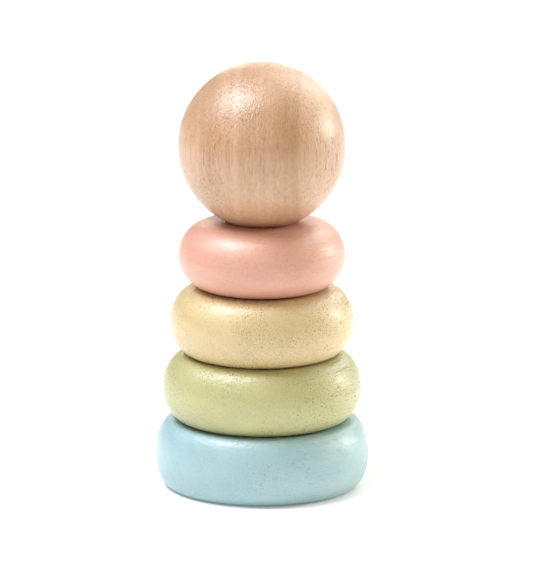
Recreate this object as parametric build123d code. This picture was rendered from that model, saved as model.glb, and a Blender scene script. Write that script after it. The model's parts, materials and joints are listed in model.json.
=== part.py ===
from build123d import *
from math import sqrt
import os

# A turned wooden stacking toy, in millimetres. A round base carries a fixed post, three loose
# rings drop over the post, and a ball with a blind socket caps it.
# The origin is the centre of the base's underside, and +Z runs up the post.

# Base and rings. Each is as thick as the next, flat above and below, with a rounded rim.
thickness = 31.35
base_radius = 50.0
base_flat_radius = 42.5
ring_sizes = {  # outer radius and flat radius, from the lowest ring up
    "green_ring": (46.5, 35.5),
    "yellow_ring": (43.0, 31.5),
    "pink_ring": (39.0, 24.0),
}
bore_radius = 10.5
bore_rounding = 3.0

# Ball. It stands on a small flat around the mouth of its socket.
ball_radius = 39.0
ball_flat_radius = 15.3
socket_clearance = 2.5
socket_rounding = 2.5

# Post. Its foot is let into the base, and its tip stands up into the ball.
post_radius = 9.0
post_foot = 17.0
post_top = 139.5
tip_height = 6.0
tip_flat_radius = 2.0
foot_chamfer = 0.8
glue_gap = 0.05
mouth_chamfer = 0.6

# Wood screw, driven up from below through the base into the post, under a wooden plug
seat_height = 8.5
counterbore_radius = 6.5
screw_length = 40.0
head_radius = 5.0
head_height = 3.0
head_chamfer = 0.8
crest_radius = 2.5
core_radius = 1.6
thread_pitch = 2.4
thread_width = 0.9
point_length = 5.0
recess_length = 5.0
recess_width = 1.3
recess_depth = 1.8
pilot_spare = 1.5
plug_recess = 0.4
plug_gap = 0.2
plug_chamfer = 0.4


def turn(outline):
    """Turns a closed half section, drawn as radius and height, about the Z axis."""
    return revolve(Plane.XZ * make_face(outline), Axis.Z)


def turn_points(points):
    """Turns a half section made of straight lines."""
    return turn(Polyline(*points, close=True))


def make_disc(outer_radius, flat_radius, centre_radius):
    """A disc with a rim of half an ellipse, open in the middle out to centre_radius."""
    rim = EllipticalCenterArc(
        (flat_radius, thickness / 2), outer_radius - flat_radius, thickness / 2, -90, arc_size=180
    )
    inside = Polyline(rim @ 1, (centre_radius, thickness), (centre_radius, 0), rim @ 0)
    return turn(rim + inside)


def make_ring(outer_radius, flat_radius):
    """A ring whose bore is rounded over at both ends."""
    ring = make_disc(outer_radius, flat_radius, bore_radius)
    bore_edges = ring.edges().filter_by(GeomType.CIRCLE).group_by(SortBy.RADIUS)[0]
    return fillet(bore_edges, bore_rounding)


def make_base():
    """The widest disc, with a socket for the post above and a counterbore for the screw below."""
    socket_radius = post_radius + glue_gap
    mouth_radius = socket_radius + mouth_chamfer
    hole_radius = crest_radius + glue_gap
    socket = turn_points([
        (0, post_foot),
        (socket_radius, post_foot),
        (socket_radius, thickness - mouth_chamfer),
        (mouth_radius, thickness),
        (0, thickness),
    ])
    counterbore = turn_points([
        (0, 0),
        (counterbore_radius, 0),
        (counterbore_radius, seat_height),
        (hole_radius, seat_height),
        (hole_radius, post_foot),
        (0, post_foot),
    ])
    return make_disc(base_radius, base_flat_radius, 0) - socket - counterbore


def make_post():
    """A dowel with a domed tip and a pilot hole up from its foot."""
    dome = EllipticalCenterArc(
        (tip_flat_radius, post_top - tip_height),
        post_radius - tip_flat_radius,
        tip_height,
        0,
        arc_size=90,
    )
    side = Polyline(
        dome @ 1,
        (0, post_top),
        (0, post_foot),
        (post_radius - foot_chamfer, post_foot),
        (post_radius, post_foot + foot_chamfer),
        dome @ 0,
    )
    pilot_radius = crest_radius + glue_gap
    pilot_top = seat_height + screw_length + pilot_spare
    pilot = turn_points([
        (0, post_foot),
        (pilot_radius, post_foot),
        (pilot_radius, pilot_top - pilot_radius),
        (0, pilot_top),
    ])
    return turn(dome + side) - pilot


def make_screw():
    """A pan head screw, upright, with a ridge for each turn of its thread."""
    head_bottom = seat_height - head_height
    point = seat_height + screw_length
    outline = [
        (0, head_bottom),
        (head_radius - head_chamfer, head_bottom),
        (head_radius, head_bottom + head_chamfer),
        (head_radius, seat_height),
        (core_radius, seat_height),
    ]
    turns = int((screw_length - point_length) / thread_pitch)
    for number in range(1, turns):
        height = seat_height + number * thread_pitch
        outline.append((core_radius, height - thread_width))
        outline.append((crest_radius, height))
        outline.append((core_radius, height + thread_width))
    outline.append((core_radius, point - point_length))
    outline.append((0, point))
    arm = Box(recess_length, recess_width, 2 * recess_depth)
    recess = arm + Rot(0, 0, 90) * arm
    return turn_points(outline) - Pos(0, 0, head_bottom) * recess


def make_plug():
    """A short wooden plug that hides the screw's head, set in a little from the underside."""
    top = seat_height - head_height - plug_gap
    radius = counterbore_radius - glue_gap
    return turn_points([
        (0, plug_recess),
        (radius - plug_chamfer, plug_recess),
        (radius, plug_recess + plug_chamfer),
        (radius, top),
        (0, top),
    ])


def make_ball():
    """A ball with a flat below and a round blind socket for the post's tip."""
    centre = sqrt(ball_radius**2 - ball_flat_radius**2)
    socket_depth = post_top - 4 * thickness + socket_clearance
    surface = ThreePointArc(
        (ball_flat_radius, 0), (ball_radius, centre), (0, centre + ball_radius)
    )
    inside = Polyline(
        surface @ 1,
        (0, socket_depth),
        (bore_radius, socket_depth),
        (bore_radius, 0),
        surface @ 0,
    )
    ball = turn(surface + inside)
    mouth = ball.edges().group_by(Axis.Z)[0].sort_by(SortBy.RADIUS)[0]
    return fillet(mouth, socket_rounding)


pieces = {
    "base": make_base(),
    "post": make_post(),
    "post_screw": make_screw(),
    "screw_plug": make_plug(),
}
for step, (name, sizes) in enumerate(ring_sizes.items(), start=1):
    pieces[name] = Pos(0, 0, step * thickness) * make_ring(*sizes)
ball_level = (1 + len(ring_sizes)) * thickness
pieces["ball"] = Pos(0, 0, ball_level) * make_ball()

os.makedirs("parts", exist_ok=True)
for name, piece in pieces.items():
    export_step(piece, f"parts/{name}.step")
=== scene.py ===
import json
import math

import bmesh
import bpy
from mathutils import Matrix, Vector, noise


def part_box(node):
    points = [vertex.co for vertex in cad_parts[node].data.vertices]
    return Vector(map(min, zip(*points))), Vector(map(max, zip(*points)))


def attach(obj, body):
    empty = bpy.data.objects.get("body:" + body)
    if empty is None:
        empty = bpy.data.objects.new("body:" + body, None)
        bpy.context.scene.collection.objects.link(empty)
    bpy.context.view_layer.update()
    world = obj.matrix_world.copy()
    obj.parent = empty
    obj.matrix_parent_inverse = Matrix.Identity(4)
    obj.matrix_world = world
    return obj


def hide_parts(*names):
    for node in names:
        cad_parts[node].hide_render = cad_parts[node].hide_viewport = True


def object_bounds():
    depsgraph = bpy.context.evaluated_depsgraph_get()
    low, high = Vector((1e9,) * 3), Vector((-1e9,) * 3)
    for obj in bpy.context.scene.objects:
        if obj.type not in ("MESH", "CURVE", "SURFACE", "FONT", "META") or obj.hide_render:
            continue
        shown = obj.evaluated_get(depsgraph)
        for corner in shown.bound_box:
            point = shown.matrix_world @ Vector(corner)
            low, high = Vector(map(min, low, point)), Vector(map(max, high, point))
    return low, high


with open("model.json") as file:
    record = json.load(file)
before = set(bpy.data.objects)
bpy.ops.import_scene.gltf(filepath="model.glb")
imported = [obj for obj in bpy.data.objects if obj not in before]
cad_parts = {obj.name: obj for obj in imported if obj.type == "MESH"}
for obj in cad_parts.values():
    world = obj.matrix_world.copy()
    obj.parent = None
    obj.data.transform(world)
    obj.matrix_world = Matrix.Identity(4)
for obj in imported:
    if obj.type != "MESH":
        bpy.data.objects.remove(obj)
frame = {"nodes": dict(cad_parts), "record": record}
cad_low, cad_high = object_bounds()

# A stacking ring toy: a base with a post, three loose stained rings and a plain ball. Each wooden
# piece is turned again here as a fine mesh in its CAD place, and cut from solid procedural wood.

# ---------------------------------------------------------------- sizes, in metres

# The turned shapes. Everything else about them comes from the frame.
FLAT_RADII = {"base": 0.0425, "green_ring": 0.0355, "yellow_ring": 0.0315, "pink_ring": 0.0240}
BORE_RADIUS = 0.0105
BORE_ROUNDING = 0.0030
BALL_FLAT_RADIUS = 0.0153
SOCKET_ROUNDING = 0.0025
SOCKET_SPARE = 0.0025
TIP_HEIGHT = 0.0060
TIP_FLAT_RADIUS = 0.0020
SCREW_HOLE_RADIUS = 0.00255
SCREW_HEAD_HEIGHT = 0.0030
COUNTERBORE_RADIUS = 0.0065
GLUE_GAP = 0.00005
SMALL_BEVEL = 0.0005

# How fine the meshes are, round the axis and along an outline. A straight run is filled in when it
# is longer than SPACING_SLACK spacings.
SEGMENTS = 256
OUTLINE_SPACING = 0.0020
PLUG_SPACING = 0.0010
SPACING_SLACK = 1.5
RIM_STEPS = 56
BALL_STEPS = 110
TIP_STEPS = 16
ROUNDING_STEPS = 8
SHARP_ANGLE = math.radians(40)

# The hand sanding: how deep it goes, and how many swells there are in a metre. On the ball it
# deepens over the lowest BALL_FOOT_SHARE of the height, fades within BALL_TOP_FADE of the axis, and
# leaves out the socket, which lies in the lowest BALL_SOCKET_SHARE.
HAND_WOBBLE = 0.00008
SOFT_SWELLS = 45
FINE_SWELLS = 160
BALL_FOOT_SHARE = 1 / 8
BALL_SOCKET_SHARE = 0.3
BALL_TOP_FADE = 0.01

# The radius of the seat under and over each piece. NO_SEAT puts the seat so far in that no painted
# crevice shade lies round it.
NO_SEAT = -1.0
SEATS = {
    "base": (FLAT_RADII["base"], FLAT_RADII["green_ring"]),
    "green_ring": (FLAT_RADII["green_ring"], FLAT_RADII["yellow_ring"]),
    "yellow_ring": (FLAT_RADII["yellow_ring"], FLAT_RADII["pink_ring"]),
    "pink_ring": (FLAT_RADII["pink_ring"], BALL_FLAT_RADIUS),
    "ball": (BALL_FLAT_RADIUS, NO_SEAT),
    "post": (NO_SEAT, NO_SEAT),
    "screw_plug": (NO_SEAT, NO_SEAT),
}

# The studio. The floor's own glow rises in two rings round the toy: from UNDER_GLOW to FLOOR_GLOW
# across NEAR_RING, and from there to FAR_GLOW across FAR_RING.
FLOOR_SIZE = 12.0
FLOOR_CELLS = 8
NEAR_RING = (0.06, 0.16)
FAR_RING = (0.3, 1.6)
UNDER_GLOW = 0.12
FLOOR_GLOW = 0.24
FAR_GLOW = 1.0
LIGHT_DISTANCE = 1.3

# The camera's lens and sensor are in millimetres. It aims at a share of the toy's height and a
# little to the right of its axis.
CAMERA_DISTANCE = 2.33
CAMERA_PITCH = math.radians(12.81)
CAMERA_LENS = 308.7
CAMERA_SENSOR = 36.0
CAMERA_CLIP = (0.05, 60)
AIM_HEIGHT_SHARE = 0.459
AIM_ASIDE = 0.0021


# ---------------------------------------------------------------- shapes


def arc(centre, radii, start, end, steps):
    """Points along an ellipse about centre, from one angle to another in degrees."""
    points = []
    for step in range(steps + 1):
        angle = math.radians(start + (end - start) * step / steps)
        points.append((centre[0] + radii[0] * math.cos(angle), centre[1] + radii[1] * math.sin(angle)))
    return points


def line(start, end, steps):
    """Points along a straight run, without its two ends."""
    return [
        (start[0] + (end[0] - start[0]) * step / steps, start[1] + (end[1] - start[1]) * step / steps)
        for step in range(1, steps)
    ]


def with_runs(points, spacing):
    """Fills the long straight runs of a closed outline with points about spacing apart."""
    filled = []
    for here, there in zip(points, points[1:] + points[:1]):
        filled.append(here)
        length = math.dist(here, there)
        on_axis = here[0] == 0 and there[0] == 0
        if not on_axis and length > SPACING_SLACK * spacing:
            filled.extend(line(here, there, round(length / spacing)))
    return filled


def wobble(radius, height, angle, seed):
    """How far a hand-sanded surface lies inside the perfect turned one.

    It is half the depth, give or take a soft swell and a finer one.
    """
    place = Vector((radius * math.cos(angle), radius * math.sin(angle), height))
    soft = noise.noise(place * SOFT_SWELLS + Vector((seed, 0, 0)))
    fine = noise.noise(place * FINE_SWELLS + Vector((0, seed, 0)))
    return HAND_WOBBLE * (0.5 + 0.5 * soft + 0.25 * fine)


def lathe(name, outline, seed, wobbles):
    """Turns an outline of (radius, height) points about the Z axis into a closed mesh.

    wobbles says, from a radius and height, how much of the hand wobble a point takes.
    """
    form = bmesh.new()
    loops = []
    for radius, height in outline:
        if radius == 0:
            loops.append([form.verts.new((0, 0, height))])
            continue
        share = wobbles(radius, height)
        loop = []
        for segment in range(SEGMENTS):
            angle = 2 * math.pi * segment / SEGMENTS
            near = radius - (share * wobble(radius, height, angle, seed) if share else 0)
            loop.append(form.verts.new((near * math.cos(angle), near * math.sin(angle), height)))
        loops.append(loop)
    for inner, outer in zip(loops, loops[1:] + loops[:1]):
        if len(inner) == 1 and len(outer) == 1:
            continue
        for segment in range(SEGMENTS):
            after = (segment + 1) % SEGMENTS
            if len(inner) == 1:
                form.faces.new((inner[0], outer[segment], outer[after]))
            elif len(outer) == 1:
                form.faces.new((inner[segment], outer[0], inner[after]))
            else:
                form.faces.new((inner[segment], outer[segment], outer[after], inner[after]))
    bmesh.ops.recalc_face_normals(form, faces=form.faces)
    mesh = bpy.data.meshes.new(name)
    form.to_mesh(mesh)
    form.free()
    mesh.shade_smooth()
    mesh.set_sharp_from_angle(angle=SHARP_ANGLE)
    piece = bpy.data.objects.new(name, mesh)
    bpy.context.scene.collection.objects.link(piece)
    return piece


def rim(flat_radius, outer_radius, low, high):
    """The half ellipse from the lower flat round to the upper one."""
    middle = (low + high) / 2
    radii = (outer_radius - flat_radius, (high - low) / 2)
    return arc((flat_radius, middle), radii, -90, 90, RIM_STEPS)


def on_rim(flat_radius, outer_radius):
    """Wobble on the rounded rim only, so that flats stay flat and pieces still meet."""

    def share(radius, height):
        """None up to a tenth of the way out across the rim, and all of it from six tenths."""
        along = (radius - flat_radius) / (outer_radius - flat_radius)
        return min(1.0, max(0.0, along * 2 - 0.2))

    return share


def no_wobble(radius, height):
    """None at any radius or height, for pieces that a machine made."""
    return 0


def make_ring(node, seed):
    """A ring with a half elliptical rim and a bore with rounded mouths."""
    low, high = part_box(node)
    outer, flat = (high.x - low.x) / 2, FLAT_RADII[node]
    middle, edge = BORE_RADIUS + BORE_ROUNDING, BORE_ROUNDING
    outline = arc((middle, low.z + edge), (edge, edge), 180, 270, ROUNDING_STEPS)
    outline += rim(flat, outer, low.z, high.z)
    outline += arc((middle, high.z - edge), (edge, edge), 90, 180, ROUNDING_STEPS)
    return lathe(node + "_wood", with_runs(outline, OUTLINE_SPACING), seed, on_rim(flat, outer))


def make_base(seed):
    """The base, with the post's socket above and the screw's hole and counterbore below."""
    low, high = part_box("base")
    outer, flat = (high.x - low.x) / 2, FLAT_RADII["base"]
    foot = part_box("post")[0].z
    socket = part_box("post")[1].x + GLUE_GAP
    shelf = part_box("post_screw")[0].z + SCREW_HEAD_HEIGHT
    bevel = SMALL_BEVEL
    outline = [(SCREW_HOLE_RADIUS, shelf), (COUNTERBORE_RADIUS, shelf)]
    outline += [(COUNTERBORE_RADIUS, low.z + bevel), (COUNTERBORE_RADIUS + bevel, low.z)]
    outline += rim(flat, outer, low.z, high.z)
    outline += [(socket + bevel, high.z), (socket, high.z - bevel)]
    outline += [(socket, foot), (SCREW_HOLE_RADIUS, foot)]
    return lathe("base_wood", with_runs(outline, OUTLINE_SPACING), seed, on_rim(flat, outer))


def make_post(seed):
    """The dowel, bevelled at its foot and domed at its tip."""
    low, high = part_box("post")
    radius, bevel = high.x, 2 * SMALL_BEVEL
    outline = [(0, low.z), (radius - bevel, low.z), (radius, low.z + bevel)]
    tip_centre = (TIP_FLAT_RADIUS, high.z - TIP_HEIGHT)
    outline += arc(tip_centre, (radius - TIP_FLAT_RADIUS, TIP_HEIGHT), 0, 90, TIP_STEPS)
    outline += [(0, high.z)]
    return lathe("post_wood", with_runs(outline, OUTLINE_SPACING), seed, no_wobble)


def make_plug(seed):
    """The plug that closes the screw's counterbore, bevelled below."""
    low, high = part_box("screw_plug")
    radius = high.x
    outline = [(0, low.z), (radius - SMALL_BEVEL, low.z), (radius, low.z + SMALL_BEVEL)]
    outline += [(radius, high.z), (0, high.z)]
    return lathe("plug_wood", with_runs(outline, PLUG_SPACING), seed, no_wobble)


def make_ball(seed):
    """The ball, cut flat underneath, with a blind socket for the post."""
    low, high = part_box("ball")
    outer = (high.x - low.x) / 2
    middle = high.z - outer
    start = math.degrees(math.asin((low.z - middle) / outer))
    flat = outer * math.cos(math.radians(start))
    socket_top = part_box("post")[1].z + SOCKET_SPARE
    edge = SOCKET_ROUNDING
    outline = [(0, socket_top), (BORE_RADIUS, socket_top)]
    outline += arc((BORE_RADIUS + edge, low.z + edge), (edge, edge), 180, 270, ROUNDING_STEPS)
    outline += arc((0, middle), (outer, outer), start, 90, BALL_STEPS)[:-1]
    outline += [(0, high.z)]

    def share(radius, height):
        """None in the socket, and less towards the flat underneath and the very top."""
        above = (height - low.z) / (high.z - low.z)
        if radius < flat and above < BALL_SOCKET_SHARE:
            return 0
        return min(1.0, above / BALL_FOOT_SHARE) * min(1.0, radius / BALL_TOP_FADE)

    return lathe("ball_wood", with_runs(outline, OUTLINE_SPACING), seed, share)


# ---------------------------------------------------------------- shader nodes


def put(tree, value, socket):
    """Joins a socket to an input, or sets the input's value."""
    if isinstance(value, bpy.types.NodeSocket):
        tree.links.new(value, socket)
    else:
        socket.default_value = value


def add(tree, kind, inputs=None, **options):
    """Adds a shader node with its options and inputs."""
    node = tree.nodes.new("ShaderNode" + kind)
    for option, value in options.items():
        setattr(node, option, value)
    for key, value in (inputs or {}).items():
        put(tree, value, node.inputs[key])
    return node


def new_tree(material):
    """The empty node tree of a material or world."""
    material.use_nodes = True
    material.node_tree.nodes.clear()
    return material.node_tree


def finish_material(tree, inputs):
    """Ends a material with one Principled shader."""
    shader = add(tree, "BsdfPrincipled", inputs)
    add(tree, "OutputMaterial", {0: shader.outputs[0]})


def maths(tree, operation, *values):
    """The result of one operation on numbers."""
    return add(tree, "Math", dict(enumerate(values)), operation=operation).outputs[0]


def vectors(tree, operation, *values):
    """The result of one operation on vectors."""
    return add(tree, "VectorMath", dict(enumerate(values)), operation=operation).outputs[0]


def length_of(tree, vector):
    """A vector's length."""
    return add(tree, "VectorMath", {0: vector}, operation="LENGTH").outputs["Value"]


def fade(tree, value, start, end, low=0.0, high=1.0):
    """A smooth step of value from low at start to high at end."""
    inputs = {"Value": value, "From Min": start, "From Max": end, "To Min": low, "To Max": high}
    return add(tree, "MapRange", inputs, interpolation_type="SMOOTHSTEP").outputs[0]


def blend(tree, share, first, second):
    """A mix of two colours, which go in at the Mix node's sockets 6 and 7 and come out at 2."""
    return add(tree, "Mix", {0: share, 6: first, 7: second}, data_type="RGBA").outputs[2]


def total(tree, parts, start=0.0):
    """The sum of each pattern times its weight."""
    result = start
    for pattern, weight in parts:
        result = maths(tree, "MULTIPLY_ADD", pattern, weight, result)
    return result


def stretched(tree, place, across, along):
    """Coordinates for a pattern with so many features a metre across and along the grain."""
    return vectors(tree, "MULTIPLY", place, (across, across, along))


def noise_of(tree, place, detail=2.0, roughness=0.5):
    """Soft noise, about 0.5 on average."""
    inputs = {"Vector": place, "Scale": 1.0, "Detail": detail, "Roughness": roughness}
    return add(tree, "TexNoise", inputs).outputs[0]


def banded(tree, ring, scale, detail):
    """Noise that changes only from ring to ring."""
    inputs = {"W": ring, "Scale": scale, "Detail": detail}
    return add(tree, "TexNoise", inputs, noise_dimensions="1D").outputs[0]


# ---------------------------------------------------------------- wood

UPRIGHT = (0.0, 0.0, 0.0)


def lying(degrees):
    """The turn that lays the grain flat, pointing so many degrees to the left of straight ahead."""
    return (math.radians(90), 0.0, math.radians(-degrees))


# How the wood of the stained pieces looks, and that of the dowel and plug.
STAINED = {"contrast": 0.9, "fine": 1.4, "wander": 700, "marks": 0.5}
BARE = {"large": 0.70, "small": 0.35, "contrast": 0.8, "fine": 1.2, "wander": 500, "marks": 0.5}

# For each piece: the turn that lays its grain and the place in the log that it is cut from, the
# colours of pale wood, dense wood, painted crevice shade with its warm bounce light, and vessels, how
# dark the large and small vessels look, how strong the grain is, how much of it is fine, how many
# times a metre the vessels wander along the grain, and how deep the lathe's marks are.
WOODS = {
    "ball": {
        # The ball's grain is placed, and its contrast set high, so that a deep band runs right of its
        # middle on the camera's side: partly wood figure, partly painted shade for the darker middle
        # between its highlights.
        "name": "natural_ball", "turn": UPRIGHT, "offset": (0.3195, 0.0, 0.4),
        "pale": (0.637, 0.401, 0.240, 1), "deep": (0.379, 0.182, 0.068, 1),
        "painted_crevice_shade": (0.50, 0.20, 0.07, 1), "pores": (0.190, 0.070, 0.025, 1),
        "large": 0.85, "small": 0.55, "contrast": 1.9, "fine": 1.0, "wander": 400, "marks": 0.3,
    },
    "pink_ring": {
        "name": "pink_stain", "turn": lying(40), "offset": (0.011, 0.07, 1.3),
        "pale": (0.734, 0.402, 0.298, 1), "deep": (0.597, 0.258, 0.163, 1),
        "painted_crevice_shade": (0.80, 0.27, 0.10, 1), "pores": (0.250, 0.090, 0.060, 1),
        "large": 0.30, "small": 0.15, **STAINED,
    },
    "yellow_ring": {
        "name": "yellow_stain", "turn": lying(12), "offset": (0.06, 0.02, 2.1),
        "pale": (0.755, 0.605, 0.325, 1), "deep": (0.552, 0.400, 0.167, 1),
        "painted_crevice_shade": (0.78, 0.40, 0.07, 1), "pores": (0.230, 0.090, 0.025, 1),
        "large": 0.9, "small": 0.8, **STAINED,
    },
    "green_ring": {
        "name": "green_stain", "turn": lying(28), "offset": (0.04, 0.09, 3.7),
        "pale": (0.588, 0.583, 0.275, 1), "deep": (0.408, 0.379, 0.134, 1),
        "painted_crevice_shade": (0.40, 0.36, 0.07, 1), "pores": (0.165, 0.095, 0.025, 1),
        "large": 0.9, "small": 0.8, **STAINED,
    },
    "base": {
        "name": "blue_stain", "turn": lying(55), "offset": (0.08, 0.03, 4.9),
        "pale": (0.419, 0.633, 0.674, 1), "deep": (0.290, 0.457, 0.487, 1),
        "painted_crevice_shade": (0.18, 0.40, 0.42, 1), "pores": (0.100, 0.160, 0.170, 1),
        "large": 0.25, "small": 0.15, **STAINED,
    },
    "post": {
        "name": "natural_dowel", "turn": UPRIGHT, "offset": (0.012, 0.008, 6.2),
        "pale": (0.679, 0.469, 0.302, 1), "deep": (0.485, 0.294, 0.158, 1),
        "painted_crevice_shade": (0.40, 0.20, 0.10, 1), "pores": (0.200, 0.090, 0.050, 1),
        **BARE,
    },
    "screw_plug": {
        "name": "natural_plug", "turn": lying(70), "offset": (0.02, 0.03, 7.7),
        "pale": (0.650, 0.432, 0.270, 1), "deep": (0.456, 0.266, 0.143, 1),
        "painted_crevice_shade": (0.40, 0.20, 0.10, 1), "pores": (0.180, 0.080, 0.040, 1),
        **BARE,
    },
}

# How many of each pattern's features there are in a metre, across the grain and along it.
STREAK_PITCH = (500, 7)
FIBRE_PITCH = (1700, 50)
CLOUD_PITCH = (45, 18)
TOOTH_PITCH = (1500, 900)
RIPPLE_PITCH = (1150, 260)
BEND_PITCH = (20, 5)
WANDER_ACROSS = 900

# The lathe's marks: how many lines a metre, and how many lengths of line a metre.
MARKS_ACROSS = 1700
MARKS_ALONG = 130

# How far the grain's sum runs each side of its middle, at a contrast of 1.
GRAIN_RANGE = 0.6

# The growth rings: bands a metre, seasons in a band, and how the rings narrow along the log.
BANDS = 65.0
SEASONS = 4.5
RING_TAPER = 0.02

# The vessels: how many across a metre, their radius as a share of that spacing, and the share of
# them that are open. The smallest one and the soft edge of each are shares of the radius. Vessels
# thin out to SPARSE_SHARE where the clouds are below CROWDED, and are all there above it.
LARGE_VESSELS = {"density": 1300, "radius": 0.34, "kept": 0.45}
SMALL_VESSELS = {"density": 2300, "radius": 0.36, "kept": 0.9}
SMALLEST_VESSEL = 0.3
VESSEL_EDGE = 0.4
CROWDED = (0.38, 0.56)
SPARSE_SHARE = 0.40

# How far, in metres, the grain bends, the vessels wander and the relief rises.
BEND_REACH = 0.003
WANDER_REACH = 0.0009
RELIEF = 0.00013

# The painted shade and warm bounce light in the crevice round a seat, where pieces meet, and the
# wear there. In metres: how far above the seat's plane each is strongest and gone, how uneven the
# shade's edge is, how far out from the seat the shade is strongest and gone, and how far under the
# seat it thins. Under the seat a quarter of it is left.
PAINTED_SHADE_RISE = (0.0003, 0.0018)
PAINTED_SHADE_RAGGED = 0.0006
PAINTED_SHADE_SPREAD = (0.0015, 0.0070)
PAINTED_SHADE_STRENGTH = 0.75
SEAT_EDGE = 0.0020
UNDER_SEAT_SHARE = 0.25
WEAR_RISE = (0.0003, 0.0006)


def grain_space(tree, turn, offset):
    """The piece's own coordinates, turned so that the grain runs along Z."""
    coordinates = add(tree, "TexCoord").outputs["Object"]
    inputs = {"Vector": coordinates, "Rotation": turn}
    turned_place = add(tree, "Mapping", inputs, vector_type="TEXTURE").outputs[0]
    return vectors(tree, "ADD", turned_place, offset)


def drifted(tree, place, across, along, reach):
    """place, pushed up to about a quarter of reach sideways by a pattern of that pitch."""
    inputs = {"Vector": stretched(tree, place, across, along), "Scale": 1.0, "Detail": 1.0}
    pattern = add(tree, "TexNoise", inputs).outputs["Color"]
    centred = vectors(tree, "SUBTRACT", pattern, (0.5, 0.5, 0.5))
    push = vectors(tree, "MULTIPLY", centred, (reach, reach, 0.0))
    return vectors(tree, "ADD", place, push)


def round_axis(tree):
    """A point's x and y, its height, and its distance from the turning axis."""
    place = add(tree, "TexCoord").outputs["Object"]
    x, y, height = add(tree, "SeparateXYZ", {0: place}).outputs
    across = add(tree, "CombineXYZ", {0: x, 1: y}).outputs[0]
    return x, y, height, length_of(tree, across)


def vessels(tree, section, density, radius, kept):
    """Open vessels of the wood, cut across as dots and along as dashes: 1 inside one, 0 outside.

    section runs across the grain, density is vessels a metre, radius a share of their spacing and
    kept the share of them that are open.
    """
    inputs = {"Vector": section, "Scale": density, "Randomness": 1.0}
    cells = add(tree, "TexVoronoi", inputs, voronoi_dimensions="2D")
    chance = add(tree, "SeparateColor", {0: cells.outputs["Color"]}).outputs[0]
    size = add(tree, "MapRange", {
        "Value": chance, "From Min": 1 - kept, "From Max": 1.0,
        "To Min": radius * SMALLEST_VESSEL, "To Max": radius,
    }).outputs[0]
    size = maths(tree, "MULTIPLY", size, maths(tree, "GREATER_THAN", chance, 1 - kept))
    inside = maths(tree, "SUBTRACT", size, cells.outputs["Distance"])
    return fade(tree, inside, 0.0, radius * VESSEL_EDGE)


def lathe_marks(tree):
    """Fine lines round the turning axis, each a few millimetres long."""
    x, y, height, radius = round_axis(tree)
    section = add(tree, "CombineXYZ", {
        0: maths(tree, "MULTIPLY", radius, MARKS_ACROSS),
        1: maths(tree, "MULTIPLY", height, MARKS_ACROSS),
        2: maths(tree, "MULTIPLY", x, MARKS_ALONG),
    }).outputs[0]
    inputs = {"Vector": section, "W": maths(tree, "MULTIPLY", y, MARKS_ALONG)}
    inputs.update({"Scale": 1.0, "Detail": 1.0})
    return add(tree, "TexNoise", inputs, noise_dimensions="4D").outputs[0]


def seat_distance(tree, node):
    """How far a point lies from the nearer flat face's plane, and out from that face's seat."""
    low, high = (corner.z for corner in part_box(node))
    low_radius, high_radius = SEATS[node]
    _, _, height, radius = round_axis(tree)
    above, below = maths(tree, "SUBTRACT", height, low), maths(tree, "SUBTRACT", high, height)
    upper = maths(tree, "GREATER_THAN", height, (low + high) / 2)
    seat_radius = maths(tree, "MULTIPLY_ADD", upper, high_radius - low_radius, low_radius)
    return maths(tree, "MINIMUM", above, below), maths(tree, "SUBTRACT", radius, seat_radius)


def growth_rings(tree, bent):
    """Wide bands and the finer seasons in them, round the heart of the log."""
    from_heart = length_of(tree, stretched(tree, bent, 1.0, RING_TAPER))
    ring = maths(tree, "MULTIPLY", from_heart, BANDS)
    return banded(tree, ring, 1.0, 0.0), banded(tree, ring, SEASONS, 1.0)


def denseness(tree, parts, contrast):
    """How dense the wood is, from 0 to 1, where parts holds patterns and their weights."""
    middle, reach = sum(weight for _, weight in parts) / 2, GRAIN_RANGE / contrast
    inputs = {"Value": total(tree, parts), "From Min": middle - reach, "From Max": middle + reach}
    return add(tree, "MapRange", inputs).outputs[0]


def painted_shade_and_wear(tree, node, clouds):
    """How much painted crevice shade lies round the piece's seats, and how far the lacquer is worn there.
    """
    gap, out = seat_distance(tree, node)
    outside = fade(tree, out, -SEAT_EDGE, 0.0, UNDER_SEAT_SHARE, 1.0)
    # The painted shade: darker, more saturated colour close to where the next piece sits, standing in for
    # the crevice's shadow and warm bounce light.
    ragged = maths(tree, "MULTIPLY_ADD", clouds, PAINTED_SHADE_RAGGED, gap)
    painted_crevice_shade = maths(tree, "MULTIPLY", fade(tree, ragged, *PAINTED_SHADE_RISE, PAINTED_SHADE_STRENGTH, 0.0), outside)
    painted_crevice_shade = maths(tree, "MULTIPLY", painted_crevice_shade, fade(tree, out, *PAINTED_SHADE_SPREAD, 1.0, 0.0))
    worn = maths(tree, "MULTIPLY", fade(tree, gap, *WEAR_RISE, 1.0, 0.0), outside)
    return painted_crevice_shade, worn


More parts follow.
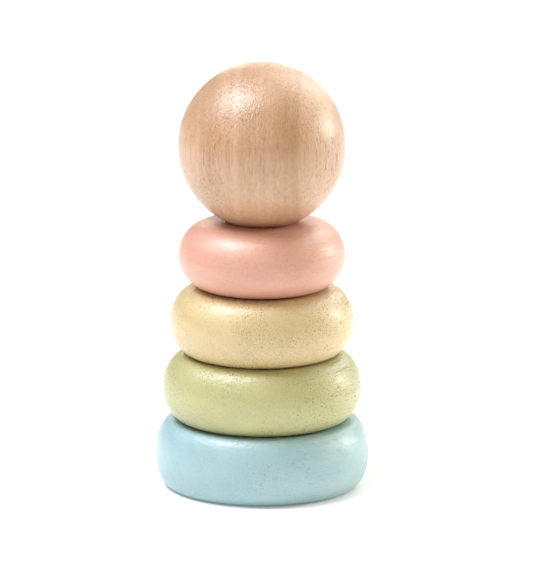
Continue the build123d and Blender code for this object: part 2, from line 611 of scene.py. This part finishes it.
def wood(node):
    """Solid turned rubberwood under satin lacquer, the same through and through."""
    look = WOODS[node]
    material = bpy.data.materials.new(look["name"])
    tree = new_tree(material)
    place = grain_space(tree, look["turn"], look["offset"])
    bent = drifted(tree, place, *BEND_PITCH, BEND_REACH)
    wavy = drifted(tree, bent, WANDER_ACROSS, look["wander"], WANDER_REACH)

    # growth rings, streaks and fibres, from wide to fine
    bands, seasons = growth_rings(tree, bent)
    streaks = noise_of(tree, stretched(tree, bent, *STREAK_PITCH))
    fibres = noise_of(tree, stretched(tree, bent, *FIBRE_PITCH), roughness=0.8)
    clouds = noise_of(tree, stretched(tree, place, *CLOUD_PITCH))
    tooth = noise_of(tree, stretched(tree, place, *TOOTH_PITCH), 1.0, 0.6)
    ripple = noise_of(tree, stretched(tree, place, *RIPPLE_PITCH), 1.0)
    parts = [(bands, 0.55), (seasons, 0.25), (clouds, 0.35), (streaks, 0.25)]
    parts += [(fibres, 0.60 * look["fine"]), (tooth, 0.30 * look["fine"])]
    colour = blend(tree, denseness(tree, parts, look["contrast"]), look["pale"], look["deep"])

    # vessels, large ones over many small ones
    crowd = fade(tree, clouds, *CROWDED, SPARSE_SHARE, 1.0)
    wide = maths(tree, "MULTIPLY", vessels(tree, wavy, **LARGE_VESSELS), crowd)
    thin = maths(tree, "MULTIPLY", vessels(tree, wavy, **SMALL_VESSELS), crowd)
    wide_dark = maths(tree, "MULTIPLY", wide, look["large"])
    thin_dark = maths(tree, "MULTIPLY", thin, look["small"])
    colour = blend(tree, maths(tree, "MAXIMUM", wide_dark, thin_dark), colour, look["pores"])

    # painted shade and warm bounce light round each seat, where the pieces meet
    painted_crevice_shade, worn = painted_shade_and_wear(tree, node, clouds)
    colour = blend(tree, painted_crevice_shade, colour, look["painted_crevice_shade"])

    # lacquer, duller in the clouds, over open grain and where it is worn, on a relief that both the
    # wood and its coat follow
    roughness = total(tree, [(clouds, 0.10), (fibres, 0.08), (wide, 0.20), (worn, 0.15)], 0.36)
    relief = total(tree, [
        (fibres, 0.12), (tooth, 0.4), (ripple, 1.6), (lathe_marks(tree), look["marks"]),
        (wide, -0.8), (thin, -0.3),
    ])
    bump = add(tree, "Bump", {"Height": relief, "Strength": 1.0, "Distance": RELIEF}).outputs[0]
    finish_material(tree, {
        "Base Color": colour, "Roughness": roughness, "Normal": bump, "IOR": 1.8,
        "Coat Weight": 0.35, "Coat Roughness": 0.24, "Coat Normal": bump,
        "Sheen Weight": 0.15, "Sheen Roughness": 0.4,
    })
    return material


# ---------------------------------------------------------------- zinc and paper


def zinc_plate():
    """Bright zinc on a pressed steel screw, with fine drawn lines and dull patches."""
    material = bpy.data.materials.new("zinc_plate")
    tree = new_tree(material)
    place = add(tree, "TexCoord").outputs["Object"]
    patches = noise_of(tree, stretched(tree, place, 900, 900), 3.0)
    lines = noise_of(tree, stretched(tree, place, 300, 9000))
    colour = blend(tree, patches, (0.52, 0.52, 0.50, 1), (0.72, 0.72, 0.69, 1))
    roughness = maths(tree, "MULTIPLY_ADD", patches, 0.25, 0.20)
    bump = add(tree, "Bump", {"Height": lines, "Strength": 0.6, "Distance": 0.00002}).outputs[0]
    finish_material(tree, {
        "Base Color": colour, "Roughness": roughness, "Normal": bump, "Metallic": 1.0,
    })
    return material


def studio_white():
    """Matt white paper with a faint tooth, brighter away from the toy to lose the horizon."""
    material = bpy.data.materials.new("studio_white")
    tree = new_tree(material)
    place = add(tree, "TexCoord").outputs["Object"]
    tooth = noise_of(tree, stretched(tree, place, 60, 60))
    colour = blend(tree, tooth, (0.90, 0.90, 0.90, 1), (0.92, 0.92, 0.92, 1))
    away = length_of(tree, place)
    near = fade(tree, away, *NEAR_RING, UNDER_GLOW, FLOOR_GLOW)
    far = fade(tree, away, *FAR_RING, 0.0, FAR_GLOW - FLOOR_GLOW)
    glow = maths(tree, "ADD", near, far)
    finish_material(tree, {
        "Base Color": colour, "Roughness": 0.8, "Emission Color": (1, 1, 1, 1), "Emission Strength": glow,
    })
    return material


# ---------------------------------------------------------------- the toy

materials = {node: wood(node) for node in WOODS}

turned = {
    "base": make_base(1.7),
    "green_ring": make_ring("green_ring", 12.3),
    "yellow_ring": make_ring("yellow_ring", 23.1),
    "pink_ring": make_ring("pink_ring", 34.9),
    "ball": make_ball(45.2),
    "post": make_post(56.4),
    "screw_plug": make_plug(67.8),
}
body_of = {
    node: body for body, nodes in frame["record"]["behaviour"]["bodies"].items() for node in nodes
}
for node, piece in turned.items():
    piece.data.materials.append(materials[node])
    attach(piece, body_of[node])
    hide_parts(node)

screw = frame["nodes"]["post_screw"]
zinc = zinc_plate()
for holder in screw.material_slots:
    holder.material = zinc


# ---------------------------------------------------------------- studio


def make_floor():
    """White paper under the toy, and far out all round it."""
    form = bmesh.new()
    bmesh.ops.create_grid(form, x_segments=FLOOR_CELLS, y_segments=FLOOR_CELLS, size=FLOOR_SIZE)
    mesh = bpy.data.meshes.new("studio_floor")
    form.to_mesh(mesh)
    form.free()
    floor = bpy.data.objects.new("studio_floor", mesh)
    bpy.context.scene.collection.objects.link(floor)
    floor.data.materials.append(studio_white())


def make_world():
    """White where the camera sees it, and dark for everything else."""
    world = bpy.data.worlds.new("studio")
    bpy.context.scene.world = world
    tree = new_tree(world)
    seen = add(tree, "LightPath").outputs["Is Camera Ray"]
    light = add(tree, "Background", {"Color": (1, 1, 1, 1), "Strength": seen})
    add(tree, "OutputWorld", {0: light.outputs[0]})


# Soft lights: name, degrees round to the right of the camera, degrees above the floor, size in
# metres, power in watts and colour.
SOFTBOXES = [
    ("key_left", -75, 60, 0.45, 10.8, (0.94, 0.965, 1.0)),
    ("key_top", -55, 75, 0.45, 6.0, (0.94, 0.965, 1.0)),
    ("left_behind", -110, 60, 0.45, 3.4, (0.77, 0.86, 1.0)),
    ("left_side", -90, 45, 0.60, 3.2, (0.89, 0.92, 1.0)),
    ("back_low", 180, 18, 0.50, 2.4, (1.0, 0.94, 0.83)),
    ("back_right_high", 142, 46, 0.80, 8.5, (0.985, 1.0, 0.982)),
    ("back_right_mid", 150, 20, 0.50, 1.7, (0.86, 1.0, 0.94)),
    ("back_right_low", 112, 14, 0.38, 7.4, (1.0, 0.99, 0.93)),
    ("right_low", 86, 18, 0.40, 1.8, (1.0, 0.79, 0.43)),
    ("right_high", 90, 45, 0.50, 2.5, (1.0, 0.91, 0.72)),
    ("front_left", -40, 30, 0.60, 2.5, (1.0, 0.96, 0.925)),
    ("front", 0, 25, 0.70, 1.8, (1.0, 0.85, 0.68)),
]


def softbox(name, side, rise, size, power, colour):
    """A square soft light that looks at the toy's middle."""
    data = bpy.data.lights.new(name, "AREA")
    data.shape = "SQUARE"
    data.size = size
    data.energy = power
    data.color = colour
    light = bpy.data.objects.new(name, data)
    side, rise = math.radians(side), math.radians(rise)
    way = Vector((math.sin(side) * math.cos(rise), -math.cos(side) * math.cos(rise), math.sin(rise)))
    light.location = (cad_low + cad_high) / 2 + way * LIGHT_DISTANCE
    light.rotation_mode = "QUATERNION"
    light.rotation_quaternion = way.to_track_quat("Z", "Y")
    light.visible_camera = False
    bpy.context.scene.collection.objects.link(light)


def make_camera():
    """A long lens in front of the toy and a little above it."""
    data = bpy.data.cameras.new("camera")
    data.lens = CAMERA_LENS
    data.sensor_width = CAMERA_SENSOR
    data.clip_start, data.clip_end = CAMERA_CLIP
    camera = bpy.data.objects.new("camera", data)
    aim = Vector((AIM_ASIDE, 0, (cad_high.z - cad_low.z) * AIM_HEIGHT_SHARE))
    back = Vector((0, -math.cos(CAMERA_PITCH), math.sin(CAMERA_PITCH)))
    camera.location = aim + back * CAMERA_DISTANCE
    camera.rotation_mode = "QUATERNION"
    camera.rotation_quaternion = (-back).to_track_quat("-Z", "Y")
    bpy.context.scene.collection.objects.link(camera)
    bpy.context.scene.camera = camera


make_floor()
make_world()
for light in SOFTBOXES:
    softbox(*light)
make_camera()
bpy.context.scene.view_settings.view_transform = "Standard"
